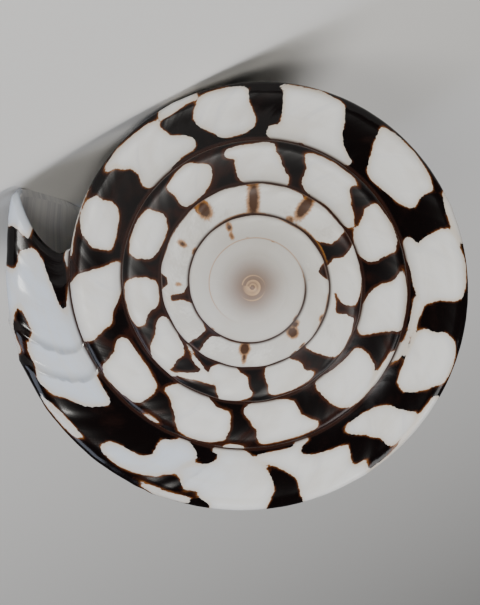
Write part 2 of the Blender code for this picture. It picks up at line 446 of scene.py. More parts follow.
# White patches of the last turn from its start to the lip. Each corner is a growth angle in
# degrees and the share of the way across the ramp, past 1 where a patch runs over the crest.
LAST_TURN = (
    ((12, .30), (12, .62), (16, .86), (21, .945), (26, .94), (29, .84), (28.5, .70), (29.5, .50),
     (28.5, .33), (24, .24), (18, .21), (13.5, .24)),
    ((36, .90), (38, .95), (46, .96), (57, .92), (59.5, .87), (59, .72), (61, .52), (65, .40),
     (68, .28), (68, .18), (66, .10), (60, .09), (52, .02), (46, .01), (42, .10), (41, .20),
     (43.5, .36), (43, .56), (40, .70), (41, .79), (37, .84)),
    ((70.5, .45), (70, .66), (73, .86), (75, .94), (82, .965), (88, .95), (89.5, .92), (88, .88),
     (89, .80), (88.5, .68), (90, .52), (91.5, .38), (90.5, .22), (87, .14), (80, .105),
     (77, .14), (75, .26)),
    ((98, .96), (110, .975), (116.5, .94), (118, .86), (119.5, .68), (121, .48), (123, .32),
     (126.5, .20), (130, .12), (130, .05), (127, .01), (111, .0), (110, .10), (109, .06),
     (104, .01), (98, .01), (95, .10), (95.5, .22), (100, .30), (100, .50), (99.5, .74),
     (99.5, .86), (97, .90)),
    ((129.5, .93), (134, .965), (142, .97), (150, .92), (153.5, .84), (153, .66), (155, .50),
     (155.5, .38), (152, .26), (145, .16), (139, .12), (136, .17), (134, .33), (131.5, .56),
     (130.5, .74)),
    ((164.5, .70), (165.5, .86), (168, .93), (175, .97), (181, .96), (185, .90), (186, .75),
     (186, .50), (188, .30), (186, .18), (182, .10), (178, .08), (170, .02), (165, .05),
     (163.5, .13), (164.5, .21), (168, .27), (166, .34), (165.5, .50)),
    ((185, .28), (188, .28), (192, .24), (200, .17), (206, .14), (211, .05), (213, .0),
     (204, .0), (202, .07), (192, .10), (186, .11)),
    ((195, .70), (196.5, .86), (200, .96), (205, .975), (209, .93), (211, .80), (214, .65),
     (216.5, .45), (216, .30), (212, .22), (205, .20), (199, .22), (195.5, .32), (196, .50)),
    ((219, .82), (219.5, .88), (223, .91), (229, .90), (231, .84), (231, .68), (234, .46),
     (238, .30), (239, .20), (236.5, .15), (231, .16), (226, .24), (223, .36), (221, .60)),
    ((237, .80), (238.5, .88), (241, 1.2), (257, 1.2), (257.5, .76), (257.5, .60), (260, .44),
     (264, .30), (270, .19), (269.5, .12), (262, .10), (256, .09), (255, .04), (256, .0),
     (251, .0), (250, .06), (254, .15), (254.5, .24), (250, .34), (243, .38), (240, .43),
     (240.5, .56), (242, .70), (241, .78)),
    ((264, .70), (266, .90), (268, 1.2), (280, 1.2), (281, .90), (284, .84), (284.5, .75),
     (288, .78), (289.5, .70), (289.5, .62), (292, .56), (289, .38), (284, .30), (281, .22),
     (281, .12), (284.5, .10), (283, .03), (277, .0), (272, .06), (269, .19), (266, .33),
     (264.5, .50)),
    ((292, .57), (297, .74), (302, .83), (306, .85), (311.5, .82), (313, .76), (311, .62),
     (308, .57), (302, .54), (299.5, .44), (300, .28), (300, .16), (296.5, .12), (295, .03),
     (291, .04), (288, .16), (287, .27), (290, .40)),
    ((349.5, .11), (352, .19), (356, .24), (360.5, .31), (365, .38), (366.8, .44), (368, .53),
     (367.5, .66), (367, .77), (364, .80), (361.5, .91), (363.5, .99), (363, 1.2), (343, 1.2),
     (342, .94), (347, .96), (352, .93), (354.5, .81), (346, .70), (344.8, .80), (343, .84),
     (339, .82), (337, .84), (335, .89), (332.5, .84), (329.5, .77), (326.5, .61),
     (322.5, .48), (318.5, .21), (320, .16), (325, .11), (328.5, .08), (330.5, -.1),
     (361.5, -.1), (361.5, .0), (353.5, .08)),
    ((363.5, -.1), (363.5, .03), (369, .08), (372, .05), (372, -.1)),
    ((372.0, 1.2), (372.2, .95), (372.8, .88), (372.5, .82), (371.2, .74), (370.3, .66),
     (370.6, .60), (373, .60), (380, .75), (384, .90), (384, 1.2)),
    ((333.5, .965), (329.5, .90), (325.5, .85), (321, .83), (316, .84), (318, .94),
     (327.5, .97), (331.5, .985)),
    ((301, .91), (297.5, .87), (292, .87), (285.5, .89), (285.5, .98), (291, 1.0),
     (296.5, .98)),
    ((6, 1.2), (8, .965), (24, .985), (30, 1.0), (30, 1.2)),
    ((60, .86), (64, .84), (73, .92), (74, 1.2), (62, 1.2)),
    ((154, 1.2), (155, .94), (160, .89), (164, .89), (170, .95), (172, 1.2)),
    ((212, .97), (213, .89), (217, .88), (228, .94), (240, .96), (240, 1.2), (214, 1.2)),
)

# White patches of the turn before
PENULTIMATE = (
    ((-347, .35), (-348, .70), (-346.5, .86), (-342, .91), (-330, .91), (-325, .84),
     (-323.5, .66), (-322, .46), (-323.5, .30), (-327, .17), (-333, .11), (-341, .17),
     (-345.5, .25)),
    ((-312, .80), (-307, .89), (-300, .95), (-297, .90), (-294, .78), (-291, .72),
     (-289.5, .55), (-291, .36), (-294, .22), (-299, .13), (-306, .09), (-311, .13),
     (-312.5, .26), (-311.5, .50), (-312.5, .68)),
    ((-283, .76), (-282, .86), (-275, .91), (-266, .95), (-261, .93), (-260, .78), (-257, .56),
     (-254.5, .38), (-251, .22), (-250, .08), (-251, .03), (-262, .02), (-270, .01),
     (-275, .06), (-278, .20), (-278.5, .50), (-278, .62), (-281, .69)),
    ((-248, .86), (-245, .93), (-236, .95), (-226, .93), (-222, .88), (-224.5, .78),
     (-224, .65), (-219, .48), (-213, .33), (-210, .22), (-209.5, .10), (-213, .05),
     (-224, .06), (-235, .03), (-240, .07), (-244, .20), (-244.5, .40), (-245, .60),
     (-247, .74)),
    ((-213.5, .85), (-212, .92), (-203, .97), (-196, .96), (-192.5, .86), (-191.5, .62),
     (-190, .38), (-190.5, .20), (-194, .06), (-198, .01), (-203, .06), (-207, .16),
     (-209, .36), (-212, .56), (-213.5, .70)),
    ((-186, .92), (-183, .80), (-180, .66), (-179, .40), (-177, .24), (-174, .13), (-169, .03),
     (-158, .02), (-154, .12), (-156, .36), (-159, .60), (-161, .80), (-161, .98), (-176, .98),
     (-182, .95)),
    ((-148.5, .30), (-148, .50), (-146, .70), (-143, .86), (-139, .92), (-139, .97),
     (-133, .97), (-128, .93), (-125, .82), (-123, .64), (-122, .44), (-121, .20), (-122, .06),
     (-126, .03), (-132, .09), (-140, .14), (-147, .18)),
    ((-115.5, .80), (-114, .90), (-106, .93), (-93, .92), (-91.5, .80), (-91.5, .62),
     (-89, .42), (-86.5, .28), (-86, .12), (-89, .05), (-95, .02), (-101, .04), (-106, .09),
     (-109.5, .20), (-110, .50), (-112.5, .66)),
    ((-81, .40), (-81, .66), (-80, .84), (-76, .93), (-68, .96), (-64, .92), (-61.5, .78),
     (-59.5, .62), (-57, .50), (-54.5, .36), (-51, .32), (-50.5, .20), (-54, .05), (-57, .0),
     (-69, .0), (-71, .10), (-74, .19), (-80, .24)),
    ((-48.5, .50), (-48, .75), (-46, .88), (-40, .95), (-33, .97), (-29.5, .90), (-28.5, .70),
     (-27, .55), (-23.5, .42), (-23, .28), (-25, .20), (-31, .17), (-39, .19), (-44, .26),
     (-47.5, .35)),
    ((-20.5, .85), (-20, .75), (-17.5, .50), (-16.5, .36), (-12, .27), (-8, .14), (-4, .04),
     (-1, .0), (10, .0), (9, .08), (7, .25), (5, .45), (3.5, .65), (2, .85), (0, .93),
     (-2, 1.2), (-18, 1.2)),
    ((-156, 1.2), (-153, .90), (-142, .88), (-139, .97), (-141, 1.2)),
    ((-87, 1.2), (-87, .93), (-82, .90), (-80, .95), (-80, 1.2)),
    ((-57, .97), (-56, .91), (-51, .90), (-50, .96), (-52, .98)),
)

# White patches of the third turn, up to where the older turns are white all over
THIRD_TURN = (
    ((-555, .85), (-551, .95), (-543, .98), (-534, .94), (-527.5, .82), (-527, .60),
     (-528, .42), (-534, .25), (-535, .10), (-540, .0), (-552, .0), (-554, .08), (-556, .20),
     (-554.5, .50)),
    ((-521.5, .60), (-521, .86), (-513, .95), (-504, .97), (-498, .88), (-495, .66),
     (-492.5, .40), (-490.5, .15), (-489.5, .0), (-540, .0), (-535, .12), (-528, .22),
     (-520, .29)),
    ((-486, .80), (-481, .90), (-470, .92), (-461, .90), (-458.5, .80), (-458.5, .50),
     (-457.5, .20), (-459, .06), (-470, .0), (-476, .0), (-476.5, .15), (-480, .25),
     (-481.5, .40), (-481, .62), (-484, .72)),
    ((-450, .78), (-448, .90), (-441, 1.0), (-434, 1.0), (-431.5, .80), (-430, .60),
     (-426, .55), (-424, .40), (-424, .20), (-426, .08), (-430, .0), (-437, .0), (-440, .10),
     (-443, .20), (-447.5, .32), (-447.5, .55)),
    ((-429, .66), (-420, .70), (-413, .86), (-408, 1.0), (-404, 1.0), (-411, .78), (-417, .56),
     (-420, .44), (-413, .30), (-406, .12), (-402, .03), (-405, .02), (-414, .20), (-423, .38),
     (-427, .50)),
    ((-407, .88), (-403, .98), (-397, .98), (-392, .85), (-390, .66), (-386, .50),
     (-381.5, .36), (-380, .20), (-382, .06), (-386, .03), (-394, .06), (-401, .14),
     (-406, .30), (-405.5, .60)),
    ((-381.5, .70), (-381, .86), (-377, .93), (-367, .96), (-360, .92), (-357.5, .70),
     (-357, .40), (-358, .15), (-362, .08), (-368, .10), (-374, .22), (-375, .40),
     (-378, .56)),
)

# Dark bars on the white of the older turns
OLD_TURN_DARKS = (
    ((-919, 1.05), (-914, .78), (-911, .62), (-908, .72), (-902, 1.05)),
    ((-772, 1.05), (-770.5, .50), (-771, .25), (-778, .08), (-778, -.05), (-756, -.05),
     (-756, .06), (-764, .20), (-764.5, .50), (-762, 1.05)),
    ((-732, .75), (-733, .30), (-737, .10), (-737, -.05), (-720, -.05), (-720, .06),
     (-727, .25), (-727.5, .74)),
    ((-724, 1.05), (-720, .72), (-715, .78), (-713, 1.05)),
    ((-845, 1.05), (-843, .93), (-838, .93), (-836, 1.05)),
    ((-667, 1.05), (-668.5, .80), (-666, .62), (-661, .66), (-658.5, .85), (-660, 1.05)),
    ((-571, 1.05), (-568, .75), (-567, .45), (-572, .20), (-578, .06), (-578, -.05),
     (-553, -.05), (-554, .12), (-557, .30), (-556, .60), (-559, .85), (-562, 1.05)),
    ((-600.5, 1.05), (-600, .88), (-593.5, .88), (-594, 1.05)),
    ((-634, 1.05), (-633, .93), (-627, .93), (-626, 1.05)),
    ((-712, 1.05), (-700, .97), (-680, .95), (-667, .97), (-660, 1.05)),
    ((-660, 1.05), (-648, .97), (-632, .98), (-600, .98), (-575, .97), (-560, 1.05)),
)


@dataclass(frozen=True)
class Spot:
    """A soft rust-brown spot on the older whorls, with its half sizes in millimetres."""

    stage: float
    place: float
    half_arc: float
    half_width: float
    strength: float


RUST_SPOTS = (
    Spot(-690.0, .55, .30, .50, 1.1), Spot(-1012.0, .76, .30, .42, 1.15),
    Spot(-1013.0, .36, .24, .42, .9), Spot(-850.0, .30, .48, .52, 1.6),
    Spot(-857.0, .16, .45, .30, 1.2), Spot(-803.5, .62, .24, .60, 1.1),
    Spot(-803.0, .28, .44, .55, 1.7), Spot(-874.0, .95, .35, .22, 1.1),
    Spot(-905.0, .20, .10, .20, .4), Spot(-996.0, .07, .25, .08, .6),
    Spot(-1222.0, .97, .30, .10, 1.2), Spot(-1128.0, .97, .20, .10, 1.0),
    Spot(-640.0, .05, 2.6, .16, 1.1), Spot(-575.0, .06, 2.2, .18, 1.2),
    Spot(-720.0, .40, .25, .40, .7), Spot(-1325.0, .99, .20, .06, .7),
    Spot(-1270.0, 1.0, .25, .06, .6), Spot(-663.0, .72, .60, .85, 1.45),
    Spot(-629.5, .50, .55, 1.9, 1.35), Spot(-596.0, .66, .50, 1.2, 1.65),
    Spot(-600.0, .12, .45, .35, .9), Spot(-690.0, .08, .40, .20, .9),
    Spot(-790.0, .04, 1.0, .07, 1.1), Spot(-750.0, .03, 1.3, .06, 1.2),
    Spot(-880.0, .98, 1.6, .06, 1.2), Spot(-960.0, .98, 1.1, .05, 1.0),
    Spot(-849.0, .95, .35, .10, 1.3),
)


@dataclass(frozen=True)
class FlankNet:
    """Staggered rows of rounded white tents on the dark flank."""

    per_turn: int = 11
    first_depth: float = 4.4
    row_height: float = 6.3
    shrink: float = 0.62
    fill_along: float = 0.80
    fill_down: float = 0.84
    jitter: float = 0.10
    full_radius: float = 20.0
    tip_clear: float = 8.0
    outline: tuple[tuple[float, float], ...] = (
        (-1.0, -.78), (-.2, -1.0), (.65, -.5), (1.0, .05), (.6, .55), (-.15, 1.0), (-1.0, .80),
        (-1.1, .0))
    bridge: tuple[tuple[float, float], ...] = (
        (334.0, 0.35), (343.0, 0.30), (343.0, 0.60), (334.0, 0.70))
    seed: int = 5
    shoulder_patches: tuple[tuple[float, float, float], ...] = (
        (241.0, 257.0, 2.2), (268.0, 280.0, 2.6), (343.0, 362.5, 2.2), (373.0, 380.0, 1.7),
        (62.0, 74.0, 1.6), (154.0, 172.0, 1.9), (214.0, 240.0, 1.5), (10.0, 27.0, 1.6),
    )

    def blotches(self, coil: Coil) -> list[Blotch]:
        """Lay out the tents.

        Each tent is a patch of eight shaken corners, whose blunt side is the older one and
        whose point leads in the growth direction. A row's height falls with a power of the
        flank's radius. Patches on the shoulder meet those of the ramp.

        Args:
            coil: the growth law, for the radius of the flank.

        Returns:
            The patches, with places in millimetres below the shoulder.
        """
        rng = np.random.default_rng(self.seed)
        made = []
        depth = self.first_depth
        row = 0
        first = coil.lip_stage - TURN
        pitch = TURN / self.per_turn
        while depth < coil.length - self.tip_clear:
            level = np.array(-self.tip_clear - depth)
            near = float(coil.flank(np.array(coil.lip_stage), level))
            size = self.row_height * (near / self.full_radius) ** self.shrink
            for item in range(self.per_turn + 1):
                middle = first + (item + 0.5 * (row % 2) + rng.normal(0.0, 0.08)) * pitch
                half = 0.5 * pitch * self.fill_along * rng.uniform(0.82, 1.14)
                tall = 0.5 * size * self.fill_down * rng.uniform(0.86, 1.12)
                low = depth + rng.normal(0.0, 0.06) * size
                wave = rng.normal(0.0, self.jitter, 12)
                corners = tuple(
                    (middle + half * (x + wave[k]), low + tall * (y + wave[k + 4]))
                    for k, (x, y) in enumerate(self.outline))
                made.append(Blotch(corners))
            depth += size
            row += 1
        for begin, end, deep in self.shoulder_patches:
            made.append(Blotch((
                (begin, -1.0), (end, -1.0), (end + 1.0, 0.5 * deep), (end - 2.0, deep),
                (begin + 2.0, 0.9 * deep), (begin - 1.0, 0.4 * deep))))
        made.append(Blotch(self.bridge))
        return made


@dataclass
class Markings:
    """Turns the patches into smooth fields on the shell's grids."""

    coil: Coil
    net: FlankNet
    far: float = 3.0
    margin: float = 16.0
    white_until: float = -549.0

    def __post_init__(self) -> None:
        """Make the patches of the ramps and lay out the flank's net."""
        self.ramp_whites = [Blotch(item) for item in LAST_TURN + PENULTIMATE + THIRD_TURN]
        self.ramp_darks = [Blotch(item) for item in OLD_TURN_DARKS]
        self.flank_whites = self.net.blotches(self.coil)

    def gather(self, patches: list[Blotch], angle: np.ndarray, place: np.ndarray,
               radius: np.ndarray, width: np.ndarray) -> np.ndarray:
        """Largest signed distance over all patches, worked out near each patch only.

        Args:
            patches: the patches.
            angle: growth angles of the points, a row for each column of the surface.
            place: places of the points across the whorl.
            radius: radius of each point.
            width: millimetres in one unit of place.

        Returns:
            Millimetres, positive inside a patch.
        """
        values = np.full(place.shape, -self.far)
        low, high = angle.min(1), angle.max(1)
        for patch in patches:
            first, last = patch.span()
            rows = np.nonzero((high > first - self.margin) & (low < last + self.margin))[0]
            if len(rows) == 0:
                continue
            part = slice(rows[0], rows[-1] + 1)
            reach = patch.reach(angle[part], place[part], radius[part], width[part])
            values[part] = np.maximum(values[part], reach)
        return values

    def soften(self, values: np.ndarray, passes: int) -> np.ndarray:
        """Round the corners by a few passes of the weights 1, 2, 1 along both ways.

        Args:
            values: signed distances on a grid.
            passes: how many times.

        Returns:
            The softened distances.
        """
        for _ in range(passes):
            wide = np.pad(values, 1, mode="edge")
            values = 0.25 * (wide[:-2, 1:-1] + wide[2:, 1:-1]) + 0.5 * wide[1:-1, 1:-1]
            wide = np.pad(values, 1, mode="edge")
            values = 0.25 * (wide[1:-1, :-2] + wide[1:-1, 2:]) + 0.5 * wide[1:-1, 1:-1]
        return values

    def ramp(self, angle: np.ndarray, share: np.ndarray, radius: np.ndarray,
             width: np.ndarray) -> np.ndarray:
        """Signed distance to the white patches on the ramps.

        Args:
            angle: growth angles of the points.
            share: place across the ramp from 0 at the suture to 1 at the shoulder.
            radius: radius of each point.
            width: width of the whorl at each point.

        Returns:
            Millimetres, positive in the white.
        """
        white = self.gather(self.ramp_whites, angle, share, radius, width)
        old = np.clip((self.white_until - angle) * np.radians(1.0) * radius, -self.far, self.far)
        white = np.maximum(white, np.minimum(old, PLAIN_WHITE))
        dark = self.gather(self.ramp_darks, angle, share, radius, width)
        return self.soften(np.minimum(white, -dark), 1)

    def flank(self, angle: np.ndarray, depth: np.ndarray, radius: np.ndarray) -> np.ndarray:
        """Signed distance to the white tents on the flank, in millimetres."""
        white = self.gather(self.flank_whites, angle, depth, radius, np.ones_like(depth))
        return self.soften(white, 2)

    def rust(self, angle: np.ndarray, share: np.ndarray, radius: np.ndarray,
             width: np.ndarray) -> np.ndarray:
        """Strength of the rust-brown spots: the highest of bell curves in arc and width.

        Args:
            angle: growth angles of the points.
            share: place across the ramp.
            radius: radius of each point.
            width: width of the whorl at each point.

        Returns:
            Strengths from 0.
        """
        total = np.zeros_like(share)
        for spot in RUST_SPOTS:
            arc = (angle - spot.stage) * np.radians(1.0) * radius / spot.half_arc
            over = (share - spot.place) * width / spot.half_width
            total = np.maximum(total, spot.strength * np.exp(-arc * arc - over * over))
        return total


@dataclass
class Skin:
    """Collects grids of vertices, their faces and what is painted on the faces' corners."""

    fields: tuple[str, ...] = ("pale_mm", "seam_mm", "wall_mm", "rust", "inside", "apex",
                               "age", "shade")
    blocks: list[np.ndarray] = field(default_factory=list)
    quads: list[np.ndarray] = field(default_factory=list)
    corner_uv: list[np.ndarray] = field(default_factory=list)
    corner_fields: dict[str, list[np.ndarray]] = field(default_factory=dict)
    count: int = 0
    sharp_from: float = 50.0

    def add(self, points: np.ndarray) -> np.ndarray:
        """Store points and return their indices in the same layout."""
        rows = points.reshape(-1, 3)
        index = self.count + np.arange(len(rows))
        self.blocks.append(rows)
        self.count += len(rows)
        return index.reshape(points.shape[:-1])

    def cover(self, grid: np.ndarray, paint: dict[str, np.ndarray]) -> None:
        """Cover a grid of indices with four-sided faces.

        Args:
            grid: vertex indices.
            paint: a value at each grid point for each field, and "u" and "v" in millimetres.
        """
        def corners(values: np.ndarray) -> np.ndarray:
            """Values at the four corners of every cell, in winding order."""
            return np.stack((values[:-1, :-1], values[1:, :-1], values[1:, 1:], values[:-1, 1:]),
                            -1).reshape(-1, 4)
        shape = grid.shape
        self.quads.append(corners(grid))
        u = corners(np.broadcast_to(paint["u"], shape))
        v = corners(np.broadcast_to(paint["v"], shape))
        self.corner_uv.append(np.stack((u, v), -1).reshape(-1, 2))
        for name in self.fields:
            values = np.broadcast_to(np.asarray(paint.get(name, 0.0), dtype=float), shape)
            self.corner_fields.setdefault(name, []).append(corners(values).ravel())

    def fan(self, hub: int, rim: np.ndarray, paint: dict[str, float]) -> None:
        """Cover a rim with triangles that meet at a hub, all painted alike.

        Args:
            hub: index of the vertex at which they meet.
            rim: indices along the rim.
            paint: one value for each field, and "u" and "v" in millimetres.
        """
        rim = np.asarray(rim)
        hubs = np.full(len(rim) - 1, hub)
        self.quads.append(np.stack((hubs, rim[:-1], rim[1:], hubs), -1))
        size = 4 * (len(rim) - 1)
        self.corner_uv.append(np.tile((paint["u"], paint["v"]), (size, 1)))
        for name in self.fields:
            self.corner_fields.setdefault(name, []).append(np.full(size, paint.get(name, 0.0)))

    def points(self) -> np.ndarray:
        """All the points as one array."""
        return np.concatenate(self.blocks)

    def mesh(self, name: str, points: np.ndarray) -> bpy.types.Mesh:
        """Make the Blender mesh, with triangles where a quad repeats its first corner.

        Args:
            name: name of the mesh.
            points: places of the vertices in metres.

        Returns:
            The mesh with its UV map and corner attributes.
        """
        quads = np.concatenate(self.quads)
        keep = np.ones(quads.shape, dtype=bool)
        keep[:, 3] = quads[:, 3] != quads[:, 0]
        flat = keep.ravel()
        sizes = keep.sum(1)
        mesh = bpy.data.meshes.new(name)
        mesh.vertices.add(len(points))
        mesh.vertices.foreach_set("co", points.astype(np.float32).ravel())
        mesh.loops.add(int(sizes.sum()))
        mesh.loops.foreach_set("vertex_index", quads.ravel()[flat].astype(np.int32))
        mesh.polygons.add(len(quads))
        starts = np.concatenate(((0,), np.cumsum(sizes)[:-1]))
        mesh.polygons.foreach_set("loop_start", starts.astype(np.int32))
        mesh.update(calc_edges=True)
        uv = mesh.uv_layers.new(name="growth_mm")
        uv.data.foreach_set("uv", np.concatenate(self.corner_uv)[flat].astype(np.float32).ravel())
        for name_of_field, parts in self.corner_fields.items():
            layer = mesh.attributes.new(name_of_field, "FLOAT", "CORNER")
            layer.data.foreach_set("value", np.concatenate(parts)[flat].astype(np.float32))
        mesh.validate()
        mesh.shade_smooth()
        mesh.set_sharp_from_angle(angle=math.radians(self.sharp_from))
        return mesh


@dataclass
class ConeSurface:
    """The whole shell: its fine surface with what is painted on it, and its place."""

    coil: Coil
    lip: Lip
    apex: Apex
    detail: Detail
    relief: Relief
    net: FlankNet
    roll: float = 152.132
    pitch: float = 14.181

    def __post_init__(self) -> None:
        """Make the markings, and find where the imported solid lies."""
        self.markings = Markings(self.coil, self.net)
        self.turned = self.lying_turn()
        self.offset = self.solid_offset()

    def lying_turn(self) -> np.ndarray:
        """Matrix that rolls the shell about its axis and lays it down with the apex raised.

        Returns:
            Three rows, for the scene's x, y and z.
        """
        r, p = math.radians(self.roll), math.radians(self.pitch)
        return np.array([
            [math.cos(r), -math.sin(r), 0.0],
            [math.sin(p) * math.sin(r), math.sin(p) * math.cos(r), -math.cos(p)],
            [math.cos(p) * math.sin(r), math.cos(p) * math.cos(r), math.sin(p)],
        ])

    def stages(self, detail: Detail) -> np.ndarray:
        """Growth stages of the columns, from the apex to the lip."""
        step = TURN / detail.columns
        return self.lip.stage - step * np.arange(self.coil.turns * detail.columns, -1, -1)

    def solid_offset(self) -> np.ndarray:
        """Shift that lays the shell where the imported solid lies, from the low corners.

        Returns:
            Millimetres in x, y and z.
        """
        stages = self.stages(SOLID_DETAIL)
        ramp = cylinder_point(*self.ramp(stages, SOLID_DETAIL)[:3])
        flank = cylinder_point(*self.flank(stages[-SOLID_DETAIL.columns - 1:], SOLID_DETAIL)[:3])
        points = np.concatenate((ramp.reshape(-1, 3), flank.reshape(-1, 3), np.zeros((1, 3))))
        points = points @ self.turned.T
        low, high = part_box(NODE)
        low = np.array(low) / MILLIMETRE
        high = np.array(high) / MILLIMETRE
        offset = low - points.min(0)
        miss = np.abs(points.max(0) + offset - high).max()
        log.info("solid matched to within %.3f mm", miss)
        return offset

    def lay(self, points: np.ndarray) -> np.ndarray:
        """Take points from the shell's own frame to the scene, in metres."""
        return (points @ self.turned.T + self.offset) * MILLIMETRE

    def lay_inside(self, points: np.ndarray) -> np.ndarray:
        """Lay the surface's points, and keep their relief inside the solid's box."""
        low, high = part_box(NODE)
        return np.clip(self.lay(points), np.array(low), np.array(high))

    def ramp(self, stages: np.ndarray, detail: Detail) -> tuple[np.ndarray, ...]:
        """Rows from the inner suture to the outer one.

        The ramp is a straight line with a slight parabolic sag, the crest a quarter ellipse,
        and one more row runs down the wall to the suture.

        Args:
            stages: growth stages of the columns.
            detail: numbers of rows.

        Returns:
            Angles, radii, heights and shares of the way across, each columns by rows.
        """
        coil = self.coil
        stage = stages[:, None]
        width = coil.width(stage)
        inner_z = coil.suture(stage - TURN)
        inner_r = coil.flank(stage - TURN, inner_z)
        crest_r = coil.radius(stage) - coil.crest_in * width
        across = np.linspace(0.0, 1.0, detail.ramp_rows + 1)[None, :]
        radius = inner_r + (crest_r - inner_r) * across
        height = inner_z + (coil.crest(stage) - inner_z) * across
        height = height - coil.ramp_sag * width * 4.0 * across * (1.0 - across)
        turn = np.linspace(0.0, math.pi / 2, detail.crest_rows + 1)[None, 1:]
        round_r = crest_r + coil.crest_in * width * np.sin(turn)
        round_z = coil.crest(stage) - coil.crest_drop * width * (1.0 - np.cos(turn))
        outer_z = coil.suture(stage)
        outer_r = coil.flank(stage, outer_z)
        radius = np.concatenate((radius, round_r, outer_r), 1)
        height = np.concatenate((height, round_z, outer_z), 1)
        share = np.clip((radius - inner_r) / (coil.radius(stage) - inner_r), 0.0, 1.0)
        angle = stage + self.lip.weight(stage) * self.lip.lead(share)
        return angle, radius, coil.worn(radius, height), share

    def flank(self, stages: np.ndarray, detail: Detail) -> tuple[np.ndarray, ...]:
        """Rows from the suture down to the tip.

        Args:
            stages: growth stages of the columns.
            detail: numbers of rows.

        Returns:
            Angles, radii, heights and depths below the shoulder, each columns by rows.
        """
        stage = stages[:, None]
        down = detail.down()[None, :]
        top = self.coil.suture(stage)
        height = top + (-self.coil.length - top) * down
        lead = self.lip.weight(stage) * (self.lip.reach + self.lip.fall_back(down, 0.0))
        angle = stage + lead + self.lip.follow(stage) * self.lip.fall_back(down, self.lip.reach)
        return angle, self.coil.flank(stage, height), height, top - height

    def hollow(self, stages: np.ndarray, detail: Detail) -> tuple[np.ndarray, ...]:
        """The inner surfaces behind the lip.

        The first block runs under the ramp, round the shoulder and down inside the outer wall.
        The second runs down the older turn's flank, which is the inner wall of the slit.

        Args:
            stages: growth stages of the columns, from the lip back.
            detail: numbers of rows.

        Returns:
            The two blocks of points, then the depths of their rows below the shoulder.
        """
        coil, lip = self.coil, self.lip
        stage = stages[:, None]
        back = lip.stage - stage
        wall = lip.lip_wall + (lip.inner_wall - lip.lip_wall) * smooth(back / lip.wall_blend)
        floor = -coil.length + lip.floor_rise * back
        width = coil.width(stage)
        lead = smooth(1.0 - back / lip.blend)
        down = detail.down()[None, :]
        corner = down[:, detail.corner_rows:detail.corner_rows + 1]

        inner = stage - TURN
        top = coil.suture(inner) + (-coil.length - coil.suture(inner)) * corner
        share = (down[:, detail.corner_rows:] - corner) / (1.0 - corner)
        inner_z = top + (floor - top) * share
        inner_r = coil.flank(inner, inner_z)
        inner_a = stage + lead * lip.fall_back(down[:, detail.corner_rows:], lip.reach)

        corner_r = coil.radius(stage) - coil.crest_in * width - lip.roof_inset * wall
        roof_z = coil.crest(stage) - lip.roof_wall
        across = np.linspace(0.0, 1.0, detail.ramp_rows + 1)[None, :]
        ramp_r = inner_r[:, :1] + (corner_r - inner_r[:, :1]) * across
        ramp_z = top + (roof_z - top) * across
        ramp_z = ramp_z - coil.ramp_sag * width * 4.0 * across * (1.0 - across)
        turn = np.linspace(0.0, math.pi / 2, detail.crest_rows + 1)[None, 1:]
        side_z = roof_z - coil.crest_drop * width
        side_r = coil.flank(stage, side_z) - wall
        round_r = corner_r + (side_r - corner_r) * np.sin(turn)
        round_z = roof_z + (side_z - roof_z) * (1.0 - np.cos(turn))
        outer_z = side_z + (floor - side_z) * (lip.first_drop + (1.0 - lip.first_drop) * down)
        outer_r = coil.flank(stage, outer_z) - wall
        outer_a = stage + lead * (lip.reach + lip.fall_back(down, 0.0))

        radius = np.concatenate((ramp_r, round_r), 1)
        height = np.concatenate((ramp_z, round_z, outer_z), 1)
        share = np.clip((radius - inner_r[:, :1]) / (side_r - inner_r[:, :1]), 0.0, 1.0)
        angle = np.concatenate((stage + lead * lip.lead(share), outer_a), 1)
        radius = np.concatenate((radius, outer_r), 1)
        return (cylinder_point(angle, radius, height), cylinder_point(inner_a, inner_r, inner_z),
                roof_z - height, roof_z - inner_z)

    def raise_relief(self, angle: np.ndarray, radius: np.ndarray, height: np.ndarray,
                     lift: np.ndarray) -> np.ndarray:
        """Move points along the outline's normal, which is its tangent turned by a right angle.

        Args:
            angle: growth angles.
            radius: radii.
            height: heights.
            lift: millimetres to move outwards.

        Returns:
            The moved points in the shell's own frame.
        """
        along_r = np.gradient(radius, axis=1)
        along_z = np.gradient(height, axis=1)
        size = np.hypot(along_r, along_z) + 1e-9
        return cylinder_point(angle, radius - lift * along_z / size, height + lift * along_r / size)

    def arc(self, stages: np.ndarray) -> np.ndarray:
        """Distance grown along the middle of the ramp, summed column by column.

        Args:
            stages: growth stages of the columns.

        Returns:
            Millimetres from the first column on.
        """
        radius = self.coil.radius(stages) - 0.5 * self.coil.width(stages)
        step = np.radians(np.diff(stages, prepend=stages[0])) * radius
        return np.cumsum(step)

    def build(self) -> bpy.types.Object:
        """Build the closed fine surface and return its object, laid in place."""
        stages = self.stages(self.detail)
        arc = self.arc(stages)
        skin = Skin()
        ramp, ramp_paint = self.build_ramps(skin, stages, arc)
        flank, flank_paint = self.build_flank(skin, stages, arc, ramp)
        back = np.linspace(self.lip.stage, self.lip.stage - self.lip.hollow_turn,
                           self.detail.hollow_columns + 1)
        outer, inner = self.build_hollow(skin, back, np.interp(back, stages, arc)[:, None], flank)
        lining = {"u": float(arc[-1]), "v": 30.0, "pale_mm": PLAIN_WHITE,
                  "inside": Place.INSIDE.value, **FAR}
        skin.cover(np.stack((outer[:, -1], inner[:, -1]), 1), lining)
        edge = self.build_lip_edge(skin, ramp, flank, outer, ramp_paint, flank_paint)
        self.build_ends(skin, flank, outer, inner, edge, lining)

